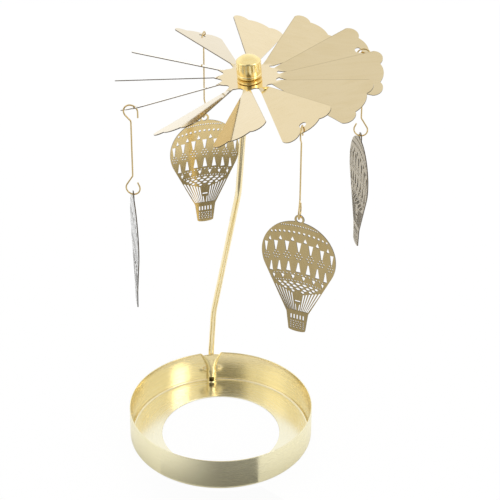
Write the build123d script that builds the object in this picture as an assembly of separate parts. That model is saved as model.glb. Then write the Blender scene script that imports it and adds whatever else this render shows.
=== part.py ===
import os
from math import asin, cos, hypot, radians, sin, sqrt, tan

from build123d import *

# Sizes in millimetres and degrees. The origin is the centre of the tray, on the table.

# Tray: a shallow pressed cup with a large hole in its floor
tray_r = 32.5
tray_h = 12.4
tray_sheet = 0.5
tray_inner_corner_r = 0.9
candle_hole_r = 21.1

# Stem: one bent wire, pinched into a channel of the tray wall and sharpened at its top
stem_r = 1.05
stem_angle = 96.4
stem_proud = 0.15
stem_foot_z = 0.3
stem_crimp_gap = 0.04
stem_straight_above_rim = 1.4
knee_reach = 2.8
knee_above_rim = 20.6
elbow_reach = 26.1
elbow_below_pivot = 51.5
stem_bend_r = 25.0
needle_len = 9.0
needle_tip_r = 0.12

# Channel in the tray wall: a funnel mouth at the rim and a small window at its foot
channel_flare = 1.9
channel_mouth_h = 5.4
channel_window_w = 1.9
channel_window_h = 1.9
channel_window_z = 0.9

# Rotor: one sheet, a round middle with twisted necks and pitched blades
rotor_x = 9.5
rotor_y = 0.0
rotor_z = 141.3
rotor_lean = 4.2
rotor_nod = -0.55
rotor_sheet = 0.3
blade_count = 12
first_blade = 24.7
blade_pitch = 25.0
rotor_r = 42.5
disc_r = 9.5
disc_scallop = 0.55
neck_w = 2.6
neck_len = 1.8
slit_w = 3.0

# Scalloped blade tip: a middle lobe and two side lobes, their widths as shares of the blade's
tip_corner_set = 3.3
lobe_notch = 1.15
side_lobe_set = 0.55
middle_lobe_share = 0.418
side_lobe_share = 0.8

# Hub: a domed bearing cap on a seat ring, its spigot spread below the sheet
cap_bore_play = 1.2
spigot_wall = 0.55
spigot_fit = 0.05
spread_lip_w = 0.65
spread_lip_h = 0.4
cap_step = 1.2
cap_wall_h = 4.0
cap_dome_h = 1.9
cap_edge_r = 0.8
cap_crown = 2.2
seat_ring_h = 1.6
seat_ring_edge_r = 0.7
pivot_cup_r = 1.1
pivot_cup_h = 0.9
pivot_gap = 0.3

# Hook holes: each lies inboard of the lower notch of its tip, with a strip of sheet between
hook_hole_play = 0.9
hook_hole_lean = 40.0
hook_strip_w = 2.2
hook_off_notch = 0.55

# Hanger wires: a straight shank with an open hook at each end
wire_r = 0.25
hook_rise = 1.1
hook_seat_gap = 0.48
top_neck = 1.0
low_neck = 2.05
hanger_drop = 29.4
top_tail_h = 1.9
low_tail_h = 1.3
low_tail_lean = 24.0
wire_bend_r = 0.9

# Balloons: flat pierced sheets, each hung by a small ring on its wire
balloon_sheet = 0.35
balloon_r = 12.5
balloon_taper = 26.0
basket_top_w = 7.4
basket_foot_w = 5.8
basket_h = 6.4
basket_round = 0.7
ring_play = 0.75
ring_wall = 0.65
ring_sink = 0.8
ring_seat_gap = 0.2

# Piercing of a balloon, as shares of balloon_r. A row is its height and half span.
row_bow = 2.56
row_wrap = 43.0
fine_dots = (0.875, 0.48)
fine_dot_count = 16
round_dots = (0.68, 0.74)
round_dot_count = 13
upper_drops = (0.39, 0.78)
upper_drop_count = 6
upper_wedges = (0.35, 0.885)
wedge_count = 7
stars = (-0.05, 0.86)
star_count = 7
lower_wedges = (-0.47, 0.735)
hem_dots = (-0.53, 0.66)
hem_dot_count = 15
lower_drops = (-0.592, 0.66)
lower_drop_count = 6
collar_dots = (-0.735, 0.6)
collar_dot_count = 17
net_rows = ((-0.805, 0.5), (-0.872, 0.43), (-0.939, 0.36), (-1.006, 0.145))
net_counts = (8, 7, 6, 3)
fine_dot_size = 0.036
round_dot_size = 0.066
drop_size = (0.05, 0.105, 0.026)
wedge_size = (0.134, 0.036, 0.285)
star_reach = 0.08
star_rays = 6
leaf_size = (0.12, 0.05)

# Ropes and burner below the balloon: slots with their offsets, heights and widths as such shares,
# and above the burner a gap, set by its height over the burner's slots
rope_count = 7
rope_spread = (0.34, 0.92)
rope_top = (-1.17, 0.26)
rope_top_w = 0.032
rope_foot_gap = 0.06
rope_foot_w = 0.0145
burner_h = 0.26
burner_top = (0.075, 0.03)
burner_foot = (0.035, 0.03)
burner_gap_y = 0.114282
burner_gap_size = (0.17, 0.15, 0.05)

# Piercing of a basket, as shares of its height and of its foot width
basket_slots = (-0.36, -0.18, 0.0, 0.18, 0.36)
basket_slot_w = 0.07
basket_slot_ends = (0.12, 0.42)
basket_dot_rows = (0.55, 0.66, 0.77, 0.88)
basket_dot_counts = (6, 5, 6, 5)
basket_dot_span = 0.72
basket_dot_size = 0.075

# The hangers go round in quarters, each with the turn of its balloon on the wire
hangers = {"right": 22.0, "back": 29.5, "left": 21.0, "front": -14.1}

# Sizes and places that follow from the values above
stem_stand_r = tray_r + stem_proud - stem_r
stem_x = stem_stand_r * cos(radians(stem_angle))
stem_y = stem_stand_r * sin(radians(stem_angle))
channel_r = stem_r + stem_crimp_gap
rotor_place = Pos(rotor_x, rotor_y, rotor_z) * Rot(X=rotor_nod) * Rot(Y=-rotor_lean)
blade_step = 360 / blade_count
blade_root_r = disc_r + neck_len
tip_corner_r = rotor_r - tip_corner_set
notch_reach = rotor_r - lobe_notch
hung_blades = [place * blade_count // len(hangers) for place in range(len(hangers))]
cap_bore_r = stem_r + cap_bore_play
spigot_r = cap_bore_r + spigot_wall
cap_r = spigot_r + cap_step
cap_foot_z = rotor_sheet / 2 + seat_ring_h
cap_wall_z = cap_foot_z + cap_wall_h
cap_top_z = cap_wall_z + cap_dome_h
pivot_h = cap_top_z - cap_crown
pivot = (rotor_place * Pos(0, 0, pivot_h)).position
hook_hole_r = wire_r + hook_hole_play
hook_r = hypot(hook_strip_w / 2, hook_rise) + hook_seat_gap + wire_r
ring_hole_r = wire_r + ring_play
ring_r = ring_hole_r + ring_wall
ring_z = wire_r + ring_seat_gap - ring_hole_r
balloon_z = ring_z - ring_r + ring_sink - balloon_r
on_floor = (Align.CENTER, Align.CENTER, Align.MIN)


def blade_half_width(reach):
    return reach * tan(radians(blade_step / 2)) - slit_w / 2


def blade_turn(number):
    return Rot(Z=first_blade + blade_step * number)


def notch_side():
    return middle_lobe_share * blade_half_width(tip_corner_r)


def hook_seat_place():
    return Pos(notch_reach, hook_off_notch - notch_side(), 0)


def hook_hole_place():
    lean = radians(hook_hole_lean)
    span = hook_strip_w + hook_hole_r
    return hook_seat_place() * Pos(-span * cos(lean), span * sin(lean), 0)


def channel_place():
    return Rot(Z=stem_angle) * Pos(stem_stand_r, 0, 0)


def channel_solid(tube_r, foot_z):
    tube = Pos(0, 0, foot_z) * Cylinder(tube_r, tray_h - foot_z, align=on_floor)
    mouth = Cone(tube_r, tube_r + channel_flare, channel_mouth_h, align=on_floor)
    return channel_place() * (tube + Pos(0, 0, tray_h - channel_mouth_h) * mouth)


def make_tray():
    inner_r = tray_r - tray_sheet
    section = make_face(Polyline(
        (candle_hole_r, 0), (tray_r, 0), (tray_r, tray_h), (inner_r, tray_h),
        (inner_r, tray_sheet), (candle_hole_r, tray_sheet), close=True,
    ))
    outer_corner = section.vertices().sort_by_distance((tray_r, 0))[0]
    section = fillet(outer_corner, tray_inner_corner_r + tray_sheet)
    inner_corner = section.vertices().sort_by_distance((inner_r, tray_sheet))[0]
    section = fillet(inner_corner, tray_inner_corner_r)
    cup = revolve(Plane.XZ * section, Axis.Z)
    room = Pos(0, 0, tray_sheet) * Cylinder(inner_r, tray_h - tray_sheet, align=on_floor)
    skin = channel_solid(channel_r + tray_sheet, tray_sheet) & room
    hollow = channel_solid(channel_r, 0)
    window_d = 2 * tray_sheet + channel_r
    window = Box(window_d, channel_window_w, channel_window_h, align=on_floor)
    window = channel_place() * Pos(-tray_sheet - channel_r, 0, channel_window_z) * window
    return cup + skin - hollow - window


def make_stem():
    run = hypot(pivot.X - stem_x, pivot.Y - stem_y)

    def at(reach, z):
        share = reach / run
        return Vector(stem_x + (pivot.X - stem_x) * share, stem_y + (pivot.Y - stem_y) * share, z)

    elbow = at(elbow_reach, pivot.Z - elbow_below_pivot)
    lean = (pivot - elbow).normalized()
    needle_foot = pivot - lean * (pivot_gap + needle_len)
    route = FilletPolyline(
        at(0, stem_foot_z), at(0, tray_h + stem_straight_above_rim),
        at(knee_reach, tray_h + knee_above_rim), elbow, needle_foot, radius=stem_bend_r,
    )
    shaft = sweep(Plane(route @ 0, z_dir=route % 0) * Circle(stem_r), path=route)
    needle = Plane(needle_foot, z_dir=lean) * Cone(stem_r, needle_tip_r, needle_len, align=on_floor)
    return shaft + needle


def disc_outline():
    edges = []
    for number in range(blade_count):
        turn = blade_turn(number)
        start = (turn * Pos(disc_r, -neck_w / 2, 0)).position
        end = (turn * Pos(disc_r, neck_w / 2, 0)).position
        middle = (turn * Rot(Z=blade_step / 2) * Pos(disc_r - disc_scallop, 0, 0)).position
        after = (blade_turn(number + 1) * Pos(disc_r, -neck_w / 2, 0)).position
        edges.append(Line(start, end))
        edges.append(ThreePointArc(end, middle, after))
    return make_face(edges)


def blade_outline():
    corner = tip_corner_r
    corner_w = blade_half_width(corner)
    root_w = blade_half_width(blade_root_r)
    notch = notch_reach
    notch_w = notch_side()
    side = rotor_r - side_lobe_set
    side_w = side_lobe_share * corner_w
    return make_face([
        Line((blade_root_r, root_w), (blade_root_r, -root_w)),
        Line((blade_root_r, -root_w), (corner, -corner_w)),
        ThreePointArc((corner, -corner_w), (side, -side_w), (notch, -notch_w)),
        ThreePointArc((notch, -notch_w), (rotor_r, 0), (notch, notch_w)),
        ThreePointArc((notch, notch_w), (side, side_w), (corner, corner_w)),
        Line((corner, corner_w), (blade_root_r, root_w)),
    ])


def make_neck():
    def across(reach):
        return Plane((reach, 0, 0), x_dir=(0, 1, 0), z_dir=(1, 0, 0))

    inner = across(disc_r) * Rectangle(neck_w, rotor_sheet)
    root = Rectangle(2 * blade_half_width(blade_root_r), rotor_sheet)
    return loft([inner, across(blade_root_r) * Rot(Z=blade_pitch) * root], ruled=True)


def make_rotor():
    wheel = extrude(disc_outline(), rotor_sheet / 2, both=True)
    wheel = wheel - Cylinder(spigot_r + spigot_fit, 2 * rotor_sheet)
    plain = extrude(blade_outline(), rotor_sheet / 2, both=True)
    holed = plain - hook_hole_place() * Cylinder(hook_hole_r, 2 * rotor_sheet)
    neck = make_neck()
    blades = []
    for number in range(blade_count):
        blade = holed if number in hung_blades else plain
        blades.append(blade_turn(number) * (neck + Rot(X=blade_pitch) * blade))
    return rotor_place * (wheel + blades)


def make_cap():
    under = -rotor_sheet / 2
    lip_z = under - spread_lip_h
    lip_r = spigot_r + spread_lip_w
    ceiling = pivot_h - pivot_cup_h
    wall = Polyline(
        (0, pivot_h), (pivot_cup_r, ceiling), (cap_bore_r, ceiling), (cap_bore_r, lip_z),
        (lip_r, lip_z), (lip_r, under), (spigot_r, under), (spigot_r, cap_foot_z),
        (cap_r, cap_foot_z), (cap_r, cap_wall_z),
    )
    dome_r = (cap_r**2 + cap_dome_h**2) / (2 * cap_dome_h)
    half = asin(cap_r / dome_r) / 2
    haunch = (dome_r * sin(half), cap_top_z - dome_r * (1 - cos(half)))
    dome = ThreePointArc((cap_r, cap_wall_z), haunch, (0, cap_top_z))
    section = make_face([wall, dome, Line((0, cap_top_z), (0, pivot_h))])
    shoulder = section.vertices().sort_by_distance((cap_r, cap_wall_z))[0]
    section = fillet(shoulder, cap_edge_r)
    return rotor_place * revolve(Plane.XZ * section, Axis.Z)


def make_seat_ring():
    inner_r = spigot_r + spigot_fit
    middle = Pos((inner_r + cap_r) / 2, (rotor_sheet / 2 + cap_foot_z) / 2)
    section = middle * Rectangle(cap_r - inner_r, seat_ring_h)
    section = fillet(section.vertices().sort_by(Axis.X)[-2:], seat_ring_edge_r)
    return rotor_place * revolve(Plane.XZ * section, Axis.Z)


def hanger_place(number):
    # The hook bears on the strip between its hole and the tip, in the upright plane through both
    blade = rotor_place * blade_turn(number) * Rot(X=blade_pitch)
    hole = (blade * hook_hole_place()).position
    edge = (blade * hook_seat_place()).position
    along = (edge - hole).normalized()
    above = (Vector(0, 0, 1) - along * along.Z).normalized()
    centre = edge - along * hook_strip_w / 2 - above * hook_rise
    return Plane(centre, x_dir=(along.X, along.Y, 0), z_dir=(0, 0, 1)).location


def hook_edges(neck, tail_h, tail_lean, up):
    # One hook in the plane of the wire, from the bend of the shank to the free tail
    neck_h = hook_r + neck
    side = asin(hook_r / neck_h)
    tail_turn = radians(tail_lean)
    touch = (hook_r * cos(side), -up * hook_r * sin(side))
    bend = wire_bend_r * tan(side / 2)
    before = (0, -up * (neck_h + bend))
    after = (bend * sin(side), -up * (neck_h - bend * cos(side)))
    end = (-hook_r * cos(tail_turn), -up * hook_r * sin(tail_turn))
    tail = (end[0] + tail_h * sin(tail_turn), end[1] - up * tail_h * cos(tail_turn))
    return before, [
        TangentArc(before, after, tangent=(0, up)),
        Line(after, touch),
        ThreePointArc(touch, (0, up * hook_r), end),
        Line(end, tail),
    ]


def make_wire():
    low_z = hook_r - hanger_drop
    top_start, top = hook_edges(top_neck, top_tail_h, 0, 1)
    low_start, low = hook_edges(low_neck, low_tail_h, low_tail_lean, -1)
    shank = Line(top_start, (0, low_z + low_start[1]))
    path = Plane.XZ * Wire(top[::-1] + [shank] + [Pos(0, low_z) * edge for edge in low])
    return sweep(Plane(path @ 0, z_dir=path % 0) * Circle(wire_r), path=path)


def row_places(row, count):
    # Places along a bowed row, closer together towards the sides as on a round balloon
    height, span = row
    bow_r = row_bow * balloon_r
    wrap = radians(row_wrap)
    places = []
    for number in range(count):
        turn = wrap * (2 * number / (count - 1) - 1)
        x = balloon_r * span * sin(turn) / sin(wrap)
        places.append((x, balloon_r * height - bow_r + sqrt(bow_r**2 - x**2), cos(turn)))
    return places


def dot_hole(x, y, size):
    return (Pos(x, y) * Circle(size / 2)).wire()


def slot_hole(top, top_w, foot, foot_w):
    return Wire(Polyline(
        (top[0] - top_w / 2, top[1]), (top[0] + top_w / 2, top[1]),
        (foot[0] + foot_w / 2, foot[1]), (foot[0] - foot_w / 2, foot[1]), close=True,
    ).edges())


def wedge_hole(x, y, narrowing, up):
    wide, tip, tall = (balloon_r * share for share in wedge_size)
    return slot_hole((x, y), wide * narrowing, (x, y + up * tall), tip)


def drop_hole(x, y, narrowing, up):
    half, tall, bulge = (balloon_r * share for share in drop_size)
    left = (x - half * narrowing, y)
    right = (x + half * narrowing, y)
    tip = (x, y + up * tall)
    return Wire([ThreePointArc(left, (x, y - up * bulge), right), Line(right, tip), Line(tip, left)])


def leaf_hole(x, y, narrowing):
    half, rise = (balloon_r * share / 2 for share in leaf_size)
    left = (x - half * narrowing, y)
    right = (x + half * narrowing, y)
    return Wire([ThreePointArc(left, (x, y + rise), right), ThreePointArc(right, (x, y - rise), left)])


def star_holes(x, y, narrowing):
    reach = balloon_r * star_reach
    fine = balloon_r * fine_dot_size
    holes = [dot_hole(x, y, fine)]
    for ray in range(star_rays):
        turn = radians(360 * ray / star_rays)
        holes.append(dot_hole(x + reach * narrowing * cos(turn), y + reach * sin(turn), fine))
    return holes


def crown_holes():
    fine = balloon_r * fine_dot_size
    fine_places = row_places(fine_dots, fine_dot_count) + row_places(hem_dots, hem_dot_count)
    fine_places += row_places(collar_dots, collar_dot_count)
    large_places = row_places(round_dots, round_dot_count)
    holes = [dot_hole(x, y, fine) for x, y, share in fine_places]
    holes += [dot_hole(x, y, balloon_r * round_dot_size) for x, y, share in large_places]
    holes += [drop_hole(x, y, share, 1) for x, y, share in row_places(upper_drops, upper_drop_count)]
    holes += [wedge_hole(x, y, share, -1) for x, y, share in row_places(upper_wedges, wedge_count)]
    holes += [wedge_hole(x, y, share, 1) for x, y, share in row_places(lower_wedges, wedge_count)]
    holes += [drop_hole(x, y, share, -1) for x, y, share in row_places(lower_drops, lower_drop_count)]
    for x, y, share in row_places(stars, star_count):
        holes += star_holes(x, y, share)
    for row, count in zip(net_rows, net_counts):
        holes += [leaf_hole(x, y, share) for x, y, share in row_places(row, count)]
    return holes


def taper_half_width(y):
    # Half the width of the balloon on its straight sides, y measured from the round middle
    taper = radians(balloon_taper)
    return balloon_r / cos(taper) + y * tan(taper)


def rope_holes(neck_y):
    foot_y = neck_y + rope_foot_gap * balloon_r
    top_w = rope_top_w * balloon_r
    foot_w = rope_foot_w * balloon_r
    first, last = rope_spread
    slots = []
    for number in range(rope_count):
        share = first + (last - first) * number / (rope_count - 1)
        top_y = balloon_r * (rope_top[0] + rope_top[1] * share)
        slots.append((share * taper_half_width(top_y), top_y, top_w, share * basket_top_w / 2, foot_w))
    top_x, top_w = (balloon_r * share for share in burner_top)
    foot_x, foot_w = (balloon_r * share for share in burner_foot)
    slots.append((top_x, neck_y + burner_h * balloon_r, top_w, foot_x, foot_w))
    gap_top, gap_foot, gap_h = (balloon_r * share for share in burner_gap_size)
    gap_y = neck_y + (burner_h + burner_gap_y) * balloon_r
    holes = [slot_hole((0, gap_y), gap_top, (0, gap_y - gap_h), gap_foot)]
    for top_x, top_y, top_w, foot_x, foot_w in slots:
        for side in (-1, 1):
            holes.append(slot_hole((side * top_x, top_y), top_w, (side * foot_x, foot_y), foot_w))
    return holes


def basket_holes(neck_y):
    holes = []
    slot_w = basket_slot_w * basket_foot_w
    top_y, foot_y = (neck_y - share * basket_h for share in basket_slot_ends)
    for share in basket_slots:
        x = share * basket_foot_w
        holes.append(slot_hole((x, top_y), slot_w, (x, foot_y), slot_w))
    for depth, count in zip(basket_dot_rows, basket_dot_counts):
        for number in range(count):
            x = basket_dot_span * basket_foot_w * (number / (count - 1) - 0.5)
            holes.append(dot_hole(x, neck_y - depth * basket_h, basket_dot_size * basket_foot_w))
    return holes


def make_balloon():
    taper = radians(balloon_taper)
    shoulder = (balloon_r * cos(taper), -balloon_r * sin(taper))
    neck = (basket_top_w / 2, (basket_top_w / 2 - balloon_r / cos(taper)) / tan(taper))
    foot = (basket_foot_w / 2, neck[1] - basket_h)
    body = make_face([
        ThreePointArc((-shoulder[0], shoulder[1]), (0, balloon_r), shoulder),
        Line(shoulder, neck),
        Line(neck, foot),
        ThreePointArc(foot, (0, foot[1] - basket_round), (-foot[0], foot[1])),
        Line((-foot[0], foot[1]), (-neck[0], neck[1])),
        Line((-neck[0], neck[1]), (-shoulder[0], shoulder[1])),
    ])
    ring_y = ring_z - balloon_z
    outline = body + Pos(0, ring_y) * Circle(ring_r)
    holes = [dot_hole(0, ring_y, 2 * ring_hole_r)]
    holes += crown_holes() + rope_holes(neck[1]) + basket_holes(neck[1])
    sheet = extrude(Face(outline.face().outer_wire(), holes), balloon_sheet / 2, both=True)
    return Pos(0, 0, balloon_z) * Rot(Z=90) * Rot(X=90) * sheet


nodes = {
    "tray": make_tray(),
    "stem": make_stem(),
    "rotor": make_rotor(),
    "hub_cap": make_cap(),
    "hub_seat_ring": make_seat_ring(),
}
wire = make_wire()
balloon = make_balloon()
print("pivot", tuple(pivot), "spin axis", tuple(rotor_place.z_axis.direction))
for (name, turn), number in zip(hangers.items(), hung_blades):
    place = hanger_place(number)
    hang = place * Pos(0, 0, -hanger_drop)
    nodes["hanger_wire_" + name] = place * wire
    nodes["balloon_" + name] = hang * Rot(Z=turn) * balloon
    print(name, "hook", tuple(place.position), "ring", tuple(hang.position), "plane", place.orientation.Z)

os.makedirs("parts", exist_ok=True)
for name, solid in nodes.items():
    export_step(solid, os.path.join("parts", name + ".step"))
    print(name, len(solid.solids()), round(solid.volume, 2))
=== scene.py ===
import math
import bmesh
import bpy
from mathutils import Matrix, Vector


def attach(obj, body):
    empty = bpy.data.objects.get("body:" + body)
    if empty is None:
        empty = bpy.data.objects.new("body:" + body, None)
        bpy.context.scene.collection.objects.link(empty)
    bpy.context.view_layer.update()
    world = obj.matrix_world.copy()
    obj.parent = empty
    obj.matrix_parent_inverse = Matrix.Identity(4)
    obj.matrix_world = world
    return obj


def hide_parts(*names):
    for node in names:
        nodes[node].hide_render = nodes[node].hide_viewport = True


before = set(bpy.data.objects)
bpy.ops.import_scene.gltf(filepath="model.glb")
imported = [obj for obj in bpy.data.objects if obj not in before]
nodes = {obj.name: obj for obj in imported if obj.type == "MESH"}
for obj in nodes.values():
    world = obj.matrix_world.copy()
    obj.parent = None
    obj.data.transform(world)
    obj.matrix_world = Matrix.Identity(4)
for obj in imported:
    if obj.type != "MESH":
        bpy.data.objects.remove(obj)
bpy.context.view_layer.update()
mm = 0.001
print("frame loaded:", len(nodes), "nodes")


def add(tree, kind, props=None, **inputs):  # one node, inputs by name with _ for a space, or i0, i1 by number
    made = tree.nodes.new(kind)
    for name, value in (props or {}).items():
        setattr(made, name, value)
    for name, value in inputs.items():
        byNumber = name[0] == "i" and name[1:].isdigit()
        socket = made.inputs[int(name[1:]) if byNumber else name.replace("_", " ")]
        if isinstance(value, bpy.types.NodeSocket):
            tree.links.new(value, socket)
        else:
            socket.default_value = value
    return made


def calc(tree, operation, a, b=0.0, c=0.0):
    return add(tree, "ShaderNodeMath", {"operation": operation}, i0=a, i1=b, i2=c).outputs[0]


def remap(tree, value, fromRange, toRange):
    made = add(tree, "ShaderNodeMapRange", {"interpolation_type": "SMOOTHSTEP"}, Value=value)
    made.inputs["From Min"].default_value, made.inputs["From Max"].default_value = fromRange
    made.inputs["To Min"].default_value, made.inputs["To Max"].default_value = toRange
    return made.outputs[0]


def mixColour(tree, share, under, over):
    return add(tree, "ShaderNodeMix", {"data_type": "RGBA"}, Factor=share, A=under, B=over).outputs["Result"]


def radiusOf(tree, x, y):
    return calc(tree, "SQRT", calc(tree, "ADD", calc(tree, "MULTIPLY", x, x), calc(tree, "MULTIPLY", y, y)))


def blank(name):  # empty material with its output and metal shader
    made = bpy.data.materials.new(name)
    made.use_nodes = True
    tree = made.node_tree
    tree.nodes.clear()
    shader = add(tree, "ShaderNodeBsdfPrincipled", Metallic=1.0)
    add(tree, "ShaderNodeOutputMaterial", Surface=shader.outputs[0])
    return made, tree, shader


def ownAxes(tree, look):  # object coordinates, and the same about the piece's own middle and lean
    place = add(tree, "ShaderNodeTexCoord").outputs["Object"]
    turned = add(tree, "ShaderNodeMapping", {"vector_type": "TEXTURE"}, Vector=place)
    turned.inputs["Location"].default_value = [v * mm for v in look.get("middle", (0, 0, 0))]
    turned.inputs["Rotation"].default_value = [math.radians(v) for v in look.get("turn", (0, 0, 0))]
    return place, add(tree, "ShaderNodeSeparateXYZ", Vector=turned.outputs[0]).outputs


def grainPoints(tree, look):  # points stretched along the brushing of a piece
    place, (x, y, z) = ownAxes(tree, look)
    if look["grain"] == "round":
        angle = calc(tree, "MULTIPLY", calc(tree, "ARCTAN2", y, x), look["stretch"])
        lines = add(tree, "ShaderNodeCombineXYZ", X=radiusOf(tree, x, y), Y=z, Z=angle)
    else:
        along = dict(X=x, Y=y, Z=z)
        axis = look["grain"].upper()
        along[axis] = calc(tree, "MULTIPLY", along[axis], look["stretch"])
        lines = add(tree, "ShaderNodeCombineXYZ", **along)
    return place, lines.outputs[0]


def bladeShadeLine(tree, look, colour):  # a thin dull line along the raised edge of each blade, painted shade where it lies over its neighbour
    b = look["blades"]
    step = 2 * math.pi / b["count"]
    place, (x, y, z) = ownAxes(tree, look)
    radius = radiusOf(tree, x, y)
    angle = calc(tree, "SUBTRACT", calc(tree, "ARCTAN2", y, x), math.radians(b["first"]))
    local = calc(tree, "WRAP", angle, step / 2, -step / 2)  # angle from the middle of a blade
    along = calc(tree, "MULTIPLY", radius, calc(tree, "COSINE", local))
    across = calc(tree, "MULTIPLY", radius, calc(tree, "SINE", local))
    halfWidth = calc(tree, "SUBTRACT", calc(tree, "MULTIPLY", along, math.tan(step / 2)), b["slit"] * mm)
    rim = calc(tree, "MULTIPLY", halfWidth, math.cos(math.radians(b["pitch"])))
    near = remap(tree, calc(tree, "SUBTRACT", rim, across), (0.0, b["line"] * mm), (1.0, 0.0))
    outer = remap(tree, radius, [v * mm for v in b["neckEnd"]], (0.0, 1.0))
    return mixColour(tree, calc(tree, "MULTIPLY", near, outer), colour, (*b["shadeTint"], 1))


brushing = dict(
    fineDetail=3.0, fineRough=0.6, coarseScale=0.2, coarseDetail=2.0, cloudDetail=4.0, cloudRough=0.55,
    cloudShare=0.6, tintRange=(0.36, 0.64), fineRange=(0.3, 0.7),
    cloudRange=(0.35, 0.65), cloudGloss=(-0.01, 0.015),
    cutRange=(0.55, 0.75), cutRough=0.25, coatRough=0.04, ringTurn=0.25, coarseRelief=0.6, relief=0.00002,
)


def brass(name, look):
    g = brushing
    made, tree, shader = blank(name)
    place, lines = grainPoints(tree, look)

    def noise(points, scale, **settings):
        return add(tree, "ShaderNodeTexNoise", Vector=points, Scale=scale, **settings).outputs[0]

    def blend(a, b, share):
        return calc(tree, "MULTIPLY_ADD", a, share, calc(tree, "MULTIPLY", b, 1 - share))

    fine = noise(lines, look["fine"], Detail=g["fineDetail"], Roughness=g["fineRough"])
    coarse = noise(lines, look["fine"] * g["coarseScale"], Detail=g["coarseDetail"])
    cloud = noise(place, look["cloud"], Detail=g["cloudDetail"], Roughness=g["cloudRough"])
    patches = remap(tree, blend(cloud, coarse, g["cloudShare"]), g["tintRange"], (0.0, 1.0))
    colour = mixColour(tree, patches, (*look["deep"], 1), (*look["pale"], 1))
    gloss = remap(tree, cloud, g["cloudRange"], g["cloudGloss"])
    rough = calc(tree, "ADD", remap(tree, fine, g["fineRange"], look["rough"]), gloss)
    for axis, paintedRange, paintedTint in look.get("paintedZones", ()):  # another tint below a height or beyond a radius: painted light on the tray, painted shade at the stem's foot
        x, y, z = add(tree, "ShaderNodeSeparateXYZ", Vector=place).outputs
        paintedShare = remap(tree, z if axis == "z" else radiusOf(tree, x, y), paintedRange, (0.0, 1.0))
        colour = mixColour(tree, paintedShare, colour, (*paintedTint, 1))
    if "blades" in look:
        colour = bladeShadeLine(tree, look, colour)
    if "flat" in look:  # cut edges of a sheet are darker and duller than its faces
        normal = add(tree, "ShaderNodeTexCoord").outputs["Normal"]
        facing = add(tree, "ShaderNodeVectorMath", {"operation": "DOT_PRODUCT"}, i0=normal, i1=look["flat"])
        cut = remap(tree, calc(tree, "ABSOLUTE", facing.outputs["Value"]), g["cutRange"], (1.0, 0.0))
        colour = mixColour(tree, cut, colour, (*look["cutTint"], 1))
        rough = calc(tree, "MULTIPLY_ADD", cut, g["cutRough"], rough)
    if "coat" in look:  # clear lacquer
        shader.inputs["Coat Weight"].default_value = look["coat"]
        shader.inputs["Coat Roughness"].default_value = g["coatRough"]
    if "steep" in look:  # colour of the metal at a glancing angle
        shader.inputs["Specular Tint"].default_value = (*look["steep"], 1)
    if "fan" in look:  # brushed rings spread a highlight across the rings
        shader.inputs["Anisotropic"].default_value = look["fan"]
        shader.inputs["Anisotropic Rotation"].default_value = g["ringTurn"]
        rings = add(tree, "ShaderNodeTangent", {"direction_type": "RADIAL", "axis": "Z"})
        tree.links.new(rings.outputs[0], shader.inputs["Tangent"])
    tree.links.new(colour, shader.inputs["Base Color"])
    tree.links.new(rough, shader.inputs["Roughness"])
    height = blend(coarse, fine, g["coarseRelief"])
    relief = add(tree, "ShaderNodeBump", Height=height, Strength=look["bump"], Distance=g["relief"])
    tree.links.new(relief.outputs[0], shader.inputs["Normal"])
    return made


rotorLean = dict(middle=(9.5, 0, 141.3), turn=(-0.55, -4.2, 0))
spin = (-0.0732382, 0.0095734, 0.9972685)  # the rotor's axis
plates = {  # which way each balloon's face looks: its hook's angle and its turn on the wire
    "right": -12.44 + 22.0, "back": 76.29 + 29.5, "left": 167.35 + 21.0, "front": -101.33 - 14.1,
}
trayLook = dict(
    grain="round", stretch=0.0006, fine=5200.0, cloud=45.0, rough=(0.2, 0.28), bump=0.12, fan=0.55,
    pale=(0.90, 0.78, 0.47), deep=(0.86, 0.73, 0.41),
    # painted light: the floor below a height and the outer wall beyond a radius get paler copies of the brass
    # where those faces look bright
    paintedZones=(("z", (0.0008, 0.0005), (0.96, 0.92, 0.72)), ("r", (0.03215, 0.0323), (0.92, 0.86, 0.60))),
)
stemLook = dict(
    grain="z", stretch=0.04, fine=7000.0, cloud=80.0, rough=(0.12, 0.17), bump=0.06,
    # painted shade: the near-black tint at the foot darkens the stem where it sits in the tray's channel
    # window
    pale=(0.95, 0.83, 0.54), deep=(0.90, 0.76, 0.44), paintedZones=(("z", (0.0042, 0.0028), (0.10, 0.075, 0.03)),),
)
rotorLook = dict(
    rotorLean, grain="x", stretch=0.03, fine=3600.0, cloud=38.0, rough=(0.05, 0.09), bump=0.03, coat=0.5,
    pale=(0.80, 0.665, 0.41), deep=(0.77, 0.63, 0.37), flat=spin, cutTint=(0.16, 0.13, 0.09),
    blades=dict(
        # the blades' line colour is painted shade along each raised edge, where the blades overlap
        count=12, first=24.7, pitch=25.0, slit=1.55, line=0.35, neckEnd=(12.0, 14.0), shadeTint=(0.60, 0.49, 0.29),
    ),
)
hubLook = dict(
    rotorLean, grain="round", stretch=0.0006, fine=5200.0, cloud=160.0, rough=(0.12, 0.18), bump=0.05,
    pale=(1.0, 0.84, 0.42), deep=(0.98, 0.765, 0.34),
)
wireLook = dict(
    grain="z", stretch=0.03, fine=9000.0, cloud=120.0, rough=(0.18, 0.28), bump=0.1,
    pale=(0.76, 0.60, 0.31), deep=(0.64, 0.48, 0.22),
)
balloonLook = dict(
    grain="z", stretch=0.05, fine=4200.0, cloud=70.0, rough=(0.11, 0.16), bump=0.06, coat=1.0,
    pale=(0.78, 0.60, 0.28), deep=(0.72, 0.54, 0.23), cutTint=(0.10, 0.075, 0.04), steep=(0.2, 0.21, 0.23),
)
finishes = {
    "tray": brass("satinTrayBrass", trayLook),
    "stem": brass("drawnStemBrass", stemLook),
    "rotor": brass("paleSheetBrass", rotorLook),
    "hub": brass("turnedHubBrass", hubLook),
    "wire": brass("hangerWireBrass", wireLook),
}
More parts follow.
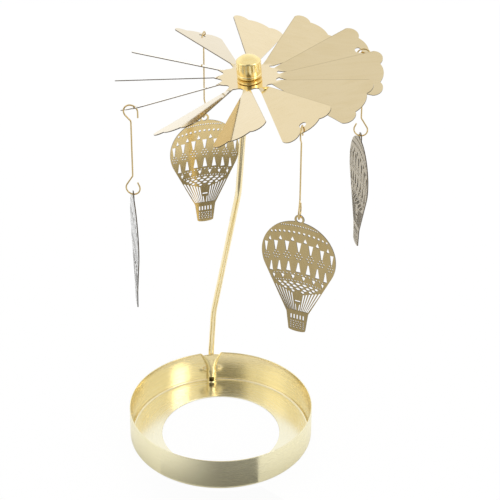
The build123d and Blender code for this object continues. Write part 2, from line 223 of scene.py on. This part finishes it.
for side, turn in plates.items():
    flat = (math.cos(math.radians(turn)), math.sin(math.radians(turn)), 0.0)
    finishes["balloon_" + side] = brass("etchedBrass_" + side, dict(balloonLook, flat=flat))
for name, piece in nodes.items():
    kind = next(k for k in finishes if k in name)
    piece.material_slots[0].material = finishes[kind]
print("finishes:", sorted(finishes))

tray = dict(  # millimetres and degrees
    wallR=32.5, height=12.4, sheet=0.5, holeR=21.1, cornerR=1.4,
    rimSheet=0.3, rimRun=1.9, edgeRound=0.08, lip=0.1,
    rimRound=((0.15, 0.02), (0.5, 0.0), (0.85, 0.02)),  # share of the rim's sheet, drop
    stemAngle=96.4, stemR=31.6, grooveR=1.09, bend=0.9,
    mouthWiden=2.0, mouthBend=1.0, mouthRun=6.6, mouthCurve=1.6, rimLift=0.7, liftWide=3.2,
    windowTop=2.8, windowColumns=(7, 17), windowRow=5,
    pinch=0.9, pinchAt=(2.2, 5.4), pinchSize=0.65, wallBand=1.0, sharp=50.0,
    floorSteps=6, cornerSteps=8, wallSteps=26, aroundSteps=96, bendSteps=8, grooveSteps=24,
)


def trayHalf(inside):  # radius, height and depth in the sheet, from the hole's edge to the rim
    t = tray
    shell = t["sheet"] if inside else 0.0
    floorR = t["wallR"] - t["cornerR"]
    half = [(t["holeR"] + t["edgeRound"], shell, shell)]
    for k in range(1, t["floorSteps"]):
        half.append((t["holeR"] + (floorR - t["holeR"]) * k / t["floorSteps"], shell, shell))
    bendR = t["cornerR"] - shell
    for k in range(t["cornerSteps"] + 1):
        turn = math.radians(90 * k / t["cornerSteps"])
        half.append((floorR + bendR * math.sin(turn), t["cornerR"] - bendR * math.cos(turn), shell))
    top = t["height"] - t["edgeRound"]
    rimFrom = t["height"] - t["rimRun"]
    for k in range(t["wallSteps"] + 1):
        z = t["windowTop"] + (top - t["windowTop"]) * k / t["wallSteps"]
        thin = max(0.0, (z - rimFrom) / t["rimRun"]) ** 2 * (t["sheet"] - t["rimSheet"]) if inside else 0.0
        half.append((t["wallR"] - shell + thin, z, shell - thin))
    return half


def trayRows():  # profile from the hole's edge below, round the outside, over the rim, back along the inside
    t = tray
    outside = trayHalf(False)
    depths = [(share * t["rimSheet"], drop) for share, drop in t["rimRound"]]
    rim = [(t["wallR"] - depth, t["height"] - drop, depth) for depth, drop in depths]
    lip = [(t["holeR"], t["sheet"] - t["lip"], t["sheet"]), (t["holeR"], t["lip"], 0.0)]
    return outside + rim + trayHalf(True)[::-1] + lip, len(outside), len(rim)


def grooveSide(row, widen):  # across and depth of the bend and the groove that holds the stem
    t = tray
    shell = row[2]
    half = t["grooveR"] + t["mouthWiden"] * widen + shell
    bend = t["bend"] + t["mouthBend"] * widen - shell
    middle = max(t["wallR"] - t["stemR"], bend + shell)
    deep = t["wallR"] - t["stemR"] + t["grooveR"] + shell - middle
    edge = half + bend
    right, groove = [], []
    for k in range(t["bendSteps"]):
        turn = math.radians(90 * k / t["bendSteps"])
        right.append((edge - bend * math.sin(turn), shell + bend * (1 - math.cos(turn))))
    for k in range(t["grooveSteps"] + 1):
        turn = math.radians(90 - 180 * k / t["grooveSteps"])
        groove.append((half * math.sin(turn), middle + deep * math.cos(turn)))
    return right + groove + [(-x, depth) for x, depth in right[::-1]], edge


def trayRing(row):  # one closed ring of the sheet at a row
    t = tray
    r, z, shell = row
    widen = max(0.0, min(1.0, (z - (t["height"] - t["mouthRun"])) / t["mouthRun"])) ** t["mouthCurve"]
    channel, edge = grooveSide(row, widen)
    start = math.asin(edge / r)
    steps = t["aroundSteps"]
    turns = [math.pi + (start - math.pi) * k / steps for k in range(steps)]
    ring = [(r * math.sin(turn), r * math.cos(turn)) for turn in turns]
    ring += [(x, min(math.sqrt(r * r - x * x), t["wallR"] - depth)) for x, depth in channel]
    turns = [-start - (math.pi - start) * k / steps for k in range(1, steps)]
    ring += [(r * math.sin(turn), r * math.cos(turn)) for turn in turns]
    out = math.radians(t["stemAngle"])
    points = []
    for x, y in ring:
        lift = t["rimLift"] * widen * math.exp(-(x / t["liftWide"]) ** 2) if y > 0 else 0.0
        if y > 0 and r > t["wallR"] - t["wallBand"]:  # dimples where the channel is pinched on the stem
            for side in (-1, 1):
                away = (x - side * t["pinchAt"][0]) ** 2 + (z - t["pinchAt"][1]) ** 2
                y -= t["pinch"] * math.exp(-away / (2 * t["pinchSize"] ** 2))
        place = (y * math.cos(out) + x * math.sin(out), y * math.sin(out) - x * math.cos(out), z + lift)
        points.append([v * mm for v in place])
    return points


def makeTray():
    t = tray
    rows, outerCount, rimCount = trayRows()
    rings = [trayRing(row) for row in rows]
    wide, total = len(rings[0]), len(rings)
    verts = [p for ring in rings for p in ring]
    first, last = (t["aroundSteps"] + t["bendSteps"] + column for column in t["windowColumns"])
    low = t["floorSteps"] + t["windowRow"]
    high = t["floorSteps"] + t["cornerSteps"] + 1
    mirror = 2 * outerCount + rimCount - 1  # row of the inside that lies over a row of the outside
    faces = []
    for i in range(total):
        for k in range(wide):
            hole = first <= k < last and (low <= i < high or mirror - high <= i < mirror - low)
            if not hole:
                nextRow, nextColumn = (i + 1) % total * wide, (k + 1) % wide
                faces.append((i * wide + k, i * wide + nextColumn, nextRow + nextColumn, nextRow + k))
    for k in range(first, last):  # reveal of the window
        for i, flip in ((low, False), (high, True)):
            over = (mirror - i) * wide
            face = (i * wide + k, i * wide + k + 1, over + k + 1, over + k)
            faces.append(face if flip else face[::-1])
    for i in range(low, high):
        for k, flip in ((first, True), (last, False)):
            over = (mirror - i) * wide
            face = (i * wide + k, (i + 1) * wide + k, over - wide + k, over + k)
            faces.append(face if flip else face[::-1])
    mesh = bpy.data.meshes.new("trayShell")
    mesh.from_pydata(verts, [], faces)
    work = bmesh.new()
    work.from_mesh(mesh)
    bmesh.ops.recalc_face_normals(work, faces=work.faces)
    work.to_mesh(mesh)
    work.free()
    mesh.polygons.foreach_set("use_smooth", [True] * len(mesh.polygons))
    mesh.set_sharp_from_angle(angle=math.radians(t["sharp"]))
    mesh.materials.append(finishes["tray"])
    piece = bpy.data.objects.new("trayShell", mesh)
    bpy.context.scene.collection.objects.link(piece)
    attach(piece, "stand")
    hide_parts("tray")
    print("tray:", len(verts), "points")


makeTray()

hangRings = {  # place of each wire's lower hook
    "right": (47.01174, 14.92605, 112.38785), "back": (-5.31439, 37.44538, 108.33198),
    "left": (-27.70478, -14.98126, 107.18786), "front": (24.46047, -37.44945, 111.23759),
}
balloon = dict(
    sizes=dict(  # inputs of the piercing tree, in millimetres
        radius=12.5, sheet=0.35, bow=32.0, dot=0.575, disc=0.875, starReach=1.1,
        dropWide=1.25, dropTall=1.3125, wedgeWide=1.7, wedgeTip=0.45, wedgeTall=3.5625,
        leafWide=1.85, leafTall=0.975, ropeTop=0.5375, ropeFoot=0.2625,
        slotWide=0.493, slotTall=1.792, basketDot=0.522,
    ),
    wrap=43.0, taper=26.0, ringR=1.65, ringHole=1.0, ringUp=13.35, drop=13.9,
    basketTop=7.4, basketFoot=5.8, basketH=6.4, basketRound=0.7,
    dots=((0.875, 0.48, 16), (-0.53, 0.66, 15), (-0.735, 0.6, 17)),  # height, half width, number of holes
    discs=((0.685, 0.74, 13),), stars=((0.0, 0.86, 7),), starRays=6,
    dropsUp=((0.45, 0.78, 6),), dropsDown=((-0.59, 0.66, 6),), dropBelly=0.57,
    wedgesDown=((0.405, 0.885, 7),), wedgesUp=((-0.465, 0.735, 7),),
    leaves=((-0.812, 0.5, 7), (-0.886, 0.42, 6), (-0.96, 0.34, 5), (-1.034, 0.13, 2)),
    ropes=6, ropeCorners=4, ropeSpread=(0.29, 0.93), ropeEnds=(-1.17, 0.24), ropeLift=0.06,
    burnerGap=(-1.3, 0.16, 0.05), gapTaper=0.9, burnerTop=0.26, burnerSlots=(0.06, 0.035, 0.03),
    basketSlots=5, slotDown=0.12, slotStep=0.18,
    dotRows=((0.54, 6), (0.66, 5), (0.78, 6), (0.9, 5)), dotSpan=0.74,  # depth in the basket, number of holes
    ringSteps=16, crownSteps=40, footSteps=8, ringHoleSteps=24, dotSteps=8, holeSteps=12, dropSteps=16,
    weld=0.0005, level=0.001,  # distance that joins points, height that still counts as level
)


def neckHeight():  # where the tapered bag meets the basket
    taper = math.radians(balloon["taper"])
    return (balloon["basketTop"] / 2 - balloon["sizes"]["radius"] / math.cos(taper)) / math.tan(taper)


def arc(height, wide, tall, begin, end, steps):
    turns = [begin + (end - begin) * k / steps for k in range(steps + 1)]
    return [(wide * math.cos(turn), height + tall * math.sin(turn)) for turn in turns]


def slotHole(top, topWide, foot, footWide):
    right = [(top[0] + topWide / 2, top[1]), (foot[0] + footWide / 2, foot[1])]
    return right + [(foot[0] - footWide / 2, foot[1]), (top[0] - topWide / 2, top[1])]


def plateEdge(neckY):  # outline with the ring at the top
    b, r = balloon, balloon["sizes"]["radius"]
    meetY = (b["ringUp"] ** 2 + r * r - b["ringR"] ** 2) / (2 * b["ringUp"])
    meetX = math.sqrt(r * r - meetY * meetY)
    ringEnd = math.atan2(meetY - b["ringUp"], meetX)
    crownBegin = math.atan2(meetY, meetX)
    footY = neckY - b["basketH"]
    half = arc(b["ringUp"], b["ringR"], b["ringR"], math.pi / 2, ringEnd, b["ringSteps"])
    half += arc(0, r, r, crownBegin, -math.radians(b["taper"]), b["crownSteps"])[1:]
    half.append((b["basketTop"] / 2, neckY))
    half += arc(footY, b["basketFoot"] / 2, b["basketRound"], 0, -math.pi / 2, b["footSteps"])
    return half + [(-x, y) for x, y in half[-2:0:-1]]


def plateLoops(neckY):  # outline, ring hole and the burner above the basket
    b, r = balloon, balloon["sizes"]["radius"]
    ring = arc(b["ringUp"], b["ringHole"], b["ringHole"], 0, 2 * math.pi, b["ringHoleSteps"])[:-1]
    gapY, gapWide, gapTall = (share * r for share in b["burnerGap"])
    gap = slotHole((0, gapY), gapWide, (0, gapY - gapTall), gapWide * b["gapTaper"])
    loops = [plateEdge(neckY), ring, gap]
    topX, footX, thin = (share * r for share in b["burnerSlots"])
    topY, footY = neckY + b["burnerTop"] * r, neckY + b["ropeLift"] * r
    for side in (-1, 1):
        loops.append(slotHole((side * topX, topY), thin, (side * footX, footY), thin))
    return loops


def joined(tree, parts):
    made = add(tree, "GeometryNodeJoinGeometry")
    for part in parts:
        tree.links.new(part, made.inputs[0])
    return made.outputs[0]


def shifted(tree, hole, y=0.0, z=0.0, scale=(1, 1, 1)):
    place = add(tree, "ShaderNodeCombineXYZ", Y=y, Z=z).outputs[0]
    return add(tree, "GeometryNodeTransform", Geometry=hole, Translation=place, Scale=scale).outputs[0]


def placed(tree, geometry, x, y):
    place = add(tree, "ShaderNodeCombineXYZ", X=x, Y=y).outputs[0]
    return add(tree, "GeometryNodeSetPosition", Geometry=geometry, Position=place).outputs[0]


def onPoints(tree, points, hole, wide=1.0, tall=1.0):
    scale = add(tree, "ShaderNodeCombineXYZ", X=wide, Y=tall, Z=1.0).outputs[0]
    return add(tree, "GeometryNodeInstanceOnPoints", Points=points, Instance=hole, Scale=scale).outputs[0]


def heldPoints(tree, count):  # a number of points on one spot, and their index
    line = add(tree, "GeometryNodeMeshLine", Count=count, Offset=(0, 0, 0)).outputs[0]
    return line, add(tree, "GeometryNodeInputIndex").outputs[0]


def cornerPlace(tree):
    place = add(tree, "GeometryNodeInputPosition").outputs[0]
    return add(tree, "ShaderNodeSeparateXYZ", Vector=place).outputs


def bowedRow(tree, size, row, hole, wide=1.0, tall=1.0):  # holes on a bowed row, narrower towards the sides
    height, span, count = row
    wrap = math.radians(balloon["wrap"])
    line, index = heldPoints(tree, count)
    turn = calc(tree, "MULTIPLY_ADD", index, 2 * wrap / (count - 1), -wrap)
    reach = calc(tree, "MULTIPLY", size["radius"], span / math.sin(wrap))
    x = calc(tree, "MULTIPLY", calc(tree, "SINE", turn), reach)
    less, more = calc(tree, "SUBTRACT", size["bow"], x), calc(tree, "ADD", size["bow"], x)
    rise = calc(tree, "SQRT", calc(tree, "MULTIPLY", less, more))
    crown = calc(tree, "SUBTRACT", calc(tree, "MULTIPLY", size["radius"], height), size["bow"])
    points = placed(tree, line, x, calc(tree, "ADD", rise, crown))
    return onPoints(tree, points, hole, calc(tree, "MULTIPLY", calc(tree, "COSINE", turn), wide), tall)


def ropeRow(tree, size, neckY):  # thin slots that fan out from the basket's top
    b, taper = balloon, math.radians(balloon["taper"])
    line, index = heldPoints(tree, b["ropes"])
    unit = add(tree, "GeometryNodeCurvePrimitiveQuadrilateral", Width=1.0, Height=1.0).outputs[0]
    laid = add(tree, "GeometryNodeRealizeInstances", Geometry=onPoints(tree, line, unit)).outputs[0]
    corner = calc(tree, "ADD", index, 0.1)  # kept clear of whole numbers for the rounding
    number = calc(tree, "FLOOR", calc(tree, "DIVIDE", corner, b["ropeCorners"]))
    near, far = b["ropeSpread"]
    share = calc(tree, "MULTIPLY_ADD", number, (far - near) / (b["ropes"] - 1), near)
    begin, gain = b["ropeEnds"]
    topY = calc(tree, "MULTIPLY", size["radius"], calc(tree, "MULTIPLY_ADD", share, gain, begin))
    crownX = calc(tree, "DIVIDE", size["radius"], math.cos(taper))
    topX = calc(tree, "MULTIPLY", share, calc(tree, "MULTIPLY_ADD", topY, math.tan(taper), crownX))
    footX = calc(tree, "MULTIPLY", share, b["basketTop"] / 2)
    footY = calc(tree, "MULTIPLY_ADD", size["radius"], b["ropeLift"], neckY)
    across, along, z = cornerPlace(tree)
    rise = calc(tree, "ADD", along, 0.5)

    def upwards(foot, top):
        return calc(tree, "MULTIPLY_ADD", calc(tree, "SUBTRACT", top, foot), rise, foot)

    x = calc(tree, "MULTIPLY_ADD", across, upwards(size["ropeFoot"], size["ropeTop"]), upwards(footX, topX))
    return placed(tree, laid, x, upwards(footY, topY))


def plateHoles(tree, size, neckY):
    b = balloon

    def half(value):
        return calc(tree, "MULTIPLY", value, 0.5)

    def minus(value):
        return calc(tree, "MULTIPLY", value, -1.0)

    def circle(steps, radius=0.5):
        return add(tree, "GeometryNodeCurvePrimitiveCircle", Resolution=steps, Radius=radius).outputs[0]

    def slot(low, top, tall):
        kind, props = "GeometryNodeCurvePrimitiveQuadrilateral", {"mode": "TRAPEZOID"}
        return add(tree, kind, props, Height=tall, Bottom_Width=low, Top_Width=top, Offset=0.0).outputs[0]

    def dropHole():  # straight sides to a point above a shallow belly
        x, y, z = cornerPlace(tree)
        above = calc(tree, "GREATER_THAN", y, -b["level"])
        sides = calc(tree, "MULTIPLY_ADD", calc(tree, "ABSOLUTE", x), -2.0, 1.0)
        belly = calc(tree, "MULTIPLY", calc(tree, "MINIMUM", y, 0.0), b["dropBelly"])
        return placed(tree, circle(b["dropSteps"]), x, calc(tree, "MULTIPLY_ADD", above, sides, belly))

    def leafHole():
        x, y, z = cornerPlace(tree)
        wave = half(calc(tree, "COSINE", calc(tree, "MULTIPLY", x, math.pi)))
        return placed(tree, circle(b["holeSteps"]), x, calc(tree, "MULTIPLY", calc(tree, "SIGN", y), wave))

    dot = circle(b["dotSteps"], half(size["dot"]))
    disc, drop, leaf = circle(b["holeSteps"]), dropHole(), leafHole()
    rays = add(tree, "GeometryNodeMeshCircle", Vertices=b["starRays"], Radius=size["starReach"]).outputs[0]
    star = joined(tree, [dot, onPoints(tree, rays, dot)])
    wide, tip, tall = size["wedgeWide"], size["wedgeTip"], size["wedgeTall"]
    wedgeDown = shifted(tree, slot(tip, wide, tall), y=minus(half(tall)))
    wedgeUp = shifted(tree, slot(wide, tip, tall), y=half(tall))
    kinds = (
        ("dots", dot, 1.0, 1.0), ("stars", star, 1.0, 1.0), ("discs", disc, size["disc"], size["disc"]),
        ("dropsUp", drop, size["dropWide"], size["dropTall"]),
        ("dropsDown", drop, size["dropWide"], minus(size["dropTall"])),
        ("wedgesDown", wedgeDown, 1.0, 1.0), ("wedgesUp", wedgeUp, 1.0, 1.0),
        ("leaves", leaf, size["leafWide"], size["leafTall"]),
    )
    holes = [bowedRow(tree, size, row, hole, x, y) for name, hole, x, y in kinds for row in b[name]]
    ropes = ropeRow(tree, size, neckY)
    holes += [ropes, shifted(tree, ropes, scale=(-1, 1, 1))]
    bar = slot(size["slotWide"], size["slotWide"], size["slotTall"])
    hung = shifted(tree, bar, y=minus(half(size["slotTall"])))
    basketDot = circle(b["dotSteps"], half(size["basketDot"]))
    slotSpan = b["slotStep"] * b["basketFoot"] * (b["basketSlots"] - 1)
    straight = [(b["slotDown"], b["basketSlots"], slotSpan, hung)]
    straight += [(depth, count, b["dotSpan"] * b["basketFoot"], basketDot) for depth, count in b["dotRows"]]
    for depth, count, span, hole in straight:
        begin, step = (-span / 2, neckY - depth * b["basketH"], 0), (span / (count - 1), 0, 0)
        line = add(tree, "GeometryNodeMeshLine", Count=count, Start_Location=begin, Offset=step)
        holes.append(onPoints(tree, line.outputs[0], hole))
    return holes


def plateTree(neckY):  # geometry nodes: outline curve in, pierced sheet out
    tree = bpy.data.node_groups.new("piercedPlate", "GeometryNodeTree")
    tree.interface.new_socket("Geometry", in_out="INPUT", socket_type="NodeSocketGeometry")
    tree.interface.new_socket("Geometry", in_out="OUTPUT", socket_type="NodeSocketGeometry")
    for name in balloon["sizes"]:
        tree.interface.new_socket(name, in_out="INPUT", socket_type="NodeSocketFloat")
    tree.interface.new_socket("finish", in_out="INPUT", socket_type="NodeSocketMaterial")
    given = add(tree, "NodeGroupInput").outputs
    size = {name: given[name] for name in balloon["sizes"]}
    loops = joined(tree, [given["Geometry"]] + plateHoles(tree, size, neckY))
    real = add(tree, "GeometryNodeRealizeInstances", Geometry=loops).outputs[0]
    face = add(tree, "GeometryNodeFillCurve", Curve=real).outputs[0]
    raised = add(tree, "GeometryNodeExtrudeMesh", Mesh=face, Offset_Scale=size["sheet"], Individual=False)
    back = add(tree, "GeometryNodeFlipFaces", Mesh=face)
    both = joined(tree, [raised.outputs[0], back.outputs[0]])
    closed = add(tree, "GeometryNodeMergeByDistance", Geometry=both, Distance=balloon["weld"]).outputs[0]
    centred = shifted(tree, closed, z=calc(tree, "MULTIPLY", size["sheet"], -0.5))
    solid = add(tree, "GeometryNodeRealizeInstances", Geometry=centred).outputs[0]
    dressed = add(tree, "GeometryNodeSetMaterial", Geometry=solid, Material=given["finish"]).outputs[0]
    add(tree, "NodeGroupOutput", Geometry=dressed)
    return tree


def piercedPlate(tree, curve, side):
    holder = bpy.data.objects.new("outline_" + side, curve)
    bpy.context.scene.collection.objects.link(holder)
    pierce = holder.modifiers.new("pierce", "NODES")
    pierce.node_group = tree
    sockets = {item.name: item.identifier for item in tree.interface.items_tree if item.in_out == "INPUT"}
    for name, value in balloon["sizes"].items():
        pierce[sockets[name]] = value
    pierce[sockets["finish"]] = finishes["balloon_" + side]
    mesh = bpy.data.meshes.new_from_object(holder.evaluated_get(bpy.context.evaluated_depsgraph_get()))
    holder.modifiers.remove(pierce)
    bpy.data.objects.remove(holder)
    mesh.materials.clear()  # drops the curve's own empty slot
    mesh.materials.append(finishes["balloon_" + side])
    return mesh


def makeBalloons():
    neckY = neckHeight()
    curve = bpy.data.curves.new("plateOutline", "CURVE")
    curve.dimensions = "2D"
    curve.fill_mode = "NONE"
    for loop in plateLoops(neckY):
        spline = curve.splines.new("POLY")
        spline.points.add(len(loop) - 1)
        spline.points.foreach_set("co", [v for x, y in loop for v in (x, y, 0, 1)])
        spline.use_cyclic_u = True
    tree = plateTree(neckY)
    for side, (x, y, z) in hangRings.items():
        mesh = piercedPlate(tree, curve, side)
        mesh.name = "balloonPlate_" + side
        turn = math.radians(plates[side])
        across, out = (-math.sin(turn), 0, math.cos(turn), x), (math.cos(turn), 0, math.sin(turn), y)
        axes = Matrix((across, out, (0, 1, 0, z - balloon["drop"]), (0, 0, 0, 1)))
        mesh.transform(Matrix.Scale(mm, 4) @ axes)
        piece = bpy.data.objects.new("balloonPlate_" + side, mesh)
        bpy.context.scene.collection.objects.link(piece)
        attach(piece, "balloon_" + side)
        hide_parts("balloon_" + side)
        print("balloon", side + ":", len(mesh.polygons), "faces")
    bpy.data.curves.remove(curve)


makeBalloons()

studio = dict(
    levels=((0.0, 1.02), (0.2, 1.1), (0.4, 1.08), (0.6, 1.0), (0.8, 0.9), (1.0, 0.88)),  # height, light there
    below=1.0, front=(0.25, 1.0), frontRise=(-0.05, 0.5), frontReach=(-0.75, 0.0),
    darkSide=dict(toward=(-0.12, -0.82, 0.56), spread=(0.9, 0.975), level=0.2),  # room behind the camera
)


def makeWorld():
    s, dark = studio, studio["darkSide"]
    world = bpy.data.worlds.new("studio")
    bpy.context.scene.world = world
    world.use_nodes = True
    tree = world.node_tree
    tree.nodes.clear()
    direction = add(tree, "ShaderNodeTexCoord").outputs["Generated"]
    x, y, z = add(tree, "ShaderNodeSeparateXYZ", Vector=direction).outputs
    steps = add(tree, "ShaderNodeValToRGB", Fac=z)
    stops = steps.color_ramp.elements
    for number, (height, level) in enumerate(s["levels"]):
        last = number == len(s["levels"]) - 1
        stop = stops[0] if number == 0 else stops[-1] if last else stops.new(height)
        stop.color = (level / 2, level / 2, level / 2, 1)  # halved, because a ramp's colour ends at 1
    halved = add(tree, "ShaderNodeSeparateColor", Color=steps.outputs[0]).outputs[0]
    below = calc(tree, "LESS_THAN", z, 0.0)
    sky = calc(tree, "MULTIPLY", calc(tree, "MULTIPLY", halved, 2.0), calc(tree, "SUBTRACT", 1.0, below))
    level = calc(tree, "MULTIPLY_ADD", below, s["below"], sky)
    missing = calc(tree, "SUBTRACT", 1.0, remap(tree, z, s["frontRise"], s["front"]))
    share = remap(tree, y, s["frontReach"], (1.0, 0.0))
    dim = calc(tree, "SUBTRACT", 1.0, calc(tree, "MULTIPLY", share, missing))
    near = add(tree, "ShaderNodeVectorMath", {"operation": "DOT_PRODUCT"}, i0=direction, i1=dark["toward"])
    unlit = remap(tree, near.outputs["Value"], dark["spread"], (1.0, dark["level"]))
    dim = calc(tree, "MULTIPLY", dim, unlit)
    light = add(tree, "ShaderNodeBackground", Color=(1, 1, 1, 1), Strength=calc(tree, "MULTIPLY", level, dim))
    white = add(tree, "ShaderNodeBackground", Color=(1, 1, 1, 1), Strength=1.0)
    seen = add(tree, "ShaderNodeLightPath").outputs["Is Camera Ray"]
    mixed = add(tree, "ShaderNodeMixShader", i0=seen, i1=light.outputs[0], i2=white.outputs[0])
    add(tree, "ShaderNodeOutputWorld", Surface=mixed.outputs[0])


papers = dict(  # metres
    # the strip's shade falls from light to dim across fade: painted shade that the tray's outer wall mirrors
    white=0.9, shadedStrip=0.92, dim=0.29, grey=0.5, pale=0.85, warm=0.99, cameraWhite=0.96,
    fade=(-0.038, 0.003), gap=0.0334, gapTurns=(-42, 25, 6), stripEnd=-0.058, stripFeet=(-0.046, 0.036),
    stripLeft=(-0.045, -0.0285), stripRight=(0.028, -0.044),
    reach=3.0, farReach=0.6, split=-0.03, greyFrom=-0.13, paleFrom=-0.114,
)


def paperSheets():  # paper round the tray, a strip in front that darkens to the right in painted shade for the tray's wall to mirror, two sheets past a gap
    p = papers
    turns = [math.radians(turn) for turn in range(*p["gapTurns"])]
    traySide = [(p["gap"] * math.sin(turn), -p["gap"] * math.cos(turn)) for turn in turns]
    wide, far, split, end = p["reach"], p["farReach"], p["split"], p["stripEnd"]
    left, right = ((x, end) for x in p["stripFeet"])
    seam = [left, p["stripLeft"], *traySide, p["stripRight"], right]
    return {
        "white": [(-wide, end), *seam, (wide, end), (wide, wide), (-wide, wide)],
        "shadedStrip": seam[::-1],
        "grey": [(-far, -far), (split, -far), (split, p["greyFrom"]), (-far, p["greyFrom"])],
        "pale": [(split, -far), (far, -far), (far, p["paleFrom"]), (split, p["paleFrom"])],
    }


def paper(name):
    p = papers
    made = bpy.data.materials.new(name + "Paper")
    made.use_nodes = True
    tree = made.node_tree
    tree.nodes.clear()
    lit = add(tree, "ShaderNodeBsdfDiffuse", Color=(p[name], p[name], p[name] * p["warm"], 1))
    if name == "shadedStrip":
        # painted shade: the strip darkens along x so the tray's wall mirrors a dark patch
        place = add(tree, "ShaderNodeTexCoord").outputs["Object"]
        x = add(tree, "ShaderNodeSeparateXYZ", Vector=place).outputs[0]
        shade = remap(tree, x, p["fade"], (p["shadedStrip"], p["dim"]))
        grey = add(tree, "ShaderNodeCombineColor", Red=shade, Green=shade, Blue=shade)
        tree.links.new(grey.outputs[0], lit.inputs["Color"])
    white = add(tree, "ShaderNodeEmission", Color=(1, 1, 1, 1), Strength=1.0)
    seen = add(tree, "ShaderNodeLightPath").outputs["Is Camera Ray"]
    share = calc(tree, "MULTIPLY", seen, p["cameraWhite"])
    mixed = add(tree, "ShaderNodeMixShader", i0=share, i1=lit.outputs[0], i2=white.outputs[0])
    add(tree, "ShaderNodeOutputMaterial", Surface=mixed.outputs[0])
    return made


def makeFloor():
    sheets = paperSheets()
    faces, corners = [], []
    for sheet in sheets.values():
        faces.append(tuple(range(len(corners), len(corners) + len(sheet))))
        corners += [(x, y, 0) for x, y in sheet]
    mesh = bpy.data.meshes.new("floor")
    mesh.from_pydata(corners, [], faces)
    for number, name in enumerate(sheets):
        mesh.materials.append(paper(name))
        mesh.polygons[number].material_index = number
    floor = bpy.data.objects.new("floor", mesh)
    bpy.context.scene.collection.objects.link(floor)


lamps = {
    "backTop": dict(at=(0.05, 0.7, 0.75), aim=(0, 0, 0.05), size=(0.6, 0.4), power=3.0, mirrored=False),
    "leftPanel": dict(at=(-0.85, -0.22, 0.4), aim=(0, 0, 0.08), size=(0.5, 0.6), power=0.3, mirrored=True),
    "rightPanel": dict(at=(0.63, -0.44, 0.47), aim=(0, 0, 0.0), size=(0.28, 0.24), power=0.8, mirrored=True),
}


def makeLamps():
    for name, lamp in lamps.items():
        data = bpy.data.lights.new(name, "AREA")
        data.shape = "RECTANGLE"
        data.size, data.size_y = lamp["size"]
        data.energy = lamp["power"]
        made = bpy.data.objects.new(name, data)
        at = Vector(lamp["at"])
        turn = (Vector(lamp["aim"]) - at).to_track_quat("-Z", "Y").to_matrix().to_4x4()
        made.matrix_world = Matrix.Translation(at) @ turn
        made.visible_glossy = lamp["mirrored"]
        bpy.context.scene.collection.objects.link(made)


view = dict(
    at=(0.0, -483.13, 372.15), forward=(0.01774, 0.85316, -0.52135), up=(0.00386, 0.52137, 0.85332),
    lens=120.9, sensor=36.0, clip=0.01,
)


def makeCamera():
    data = bpy.data.cameras.new("camera")
    data.sensor_width = view["sensor"]
    data.lens = view["lens"]
    data.clip_start = view["clip"]
    camera = bpy.data.objects.new("camera", data)
    forward = Vector(view["forward"]).normalized()
    right = forward.cross(Vector(view["up"])).normalized()
    up = right.cross(forward)
    turn = Matrix((right, up, -forward)).transposed().to_4x4()
    camera.matrix_world = Matrix.Translation(Vector(view["at"]) * mm) @ turn
    bpy.context.scene.collection.objects.link(camera)
    bpy.context.scene.camera = camera


makeWorld()
makeFloor()
makeLamps()
makeCamera()
bpy.context.scene.view_settings.view_transform = "Standard"
print("studio ready")
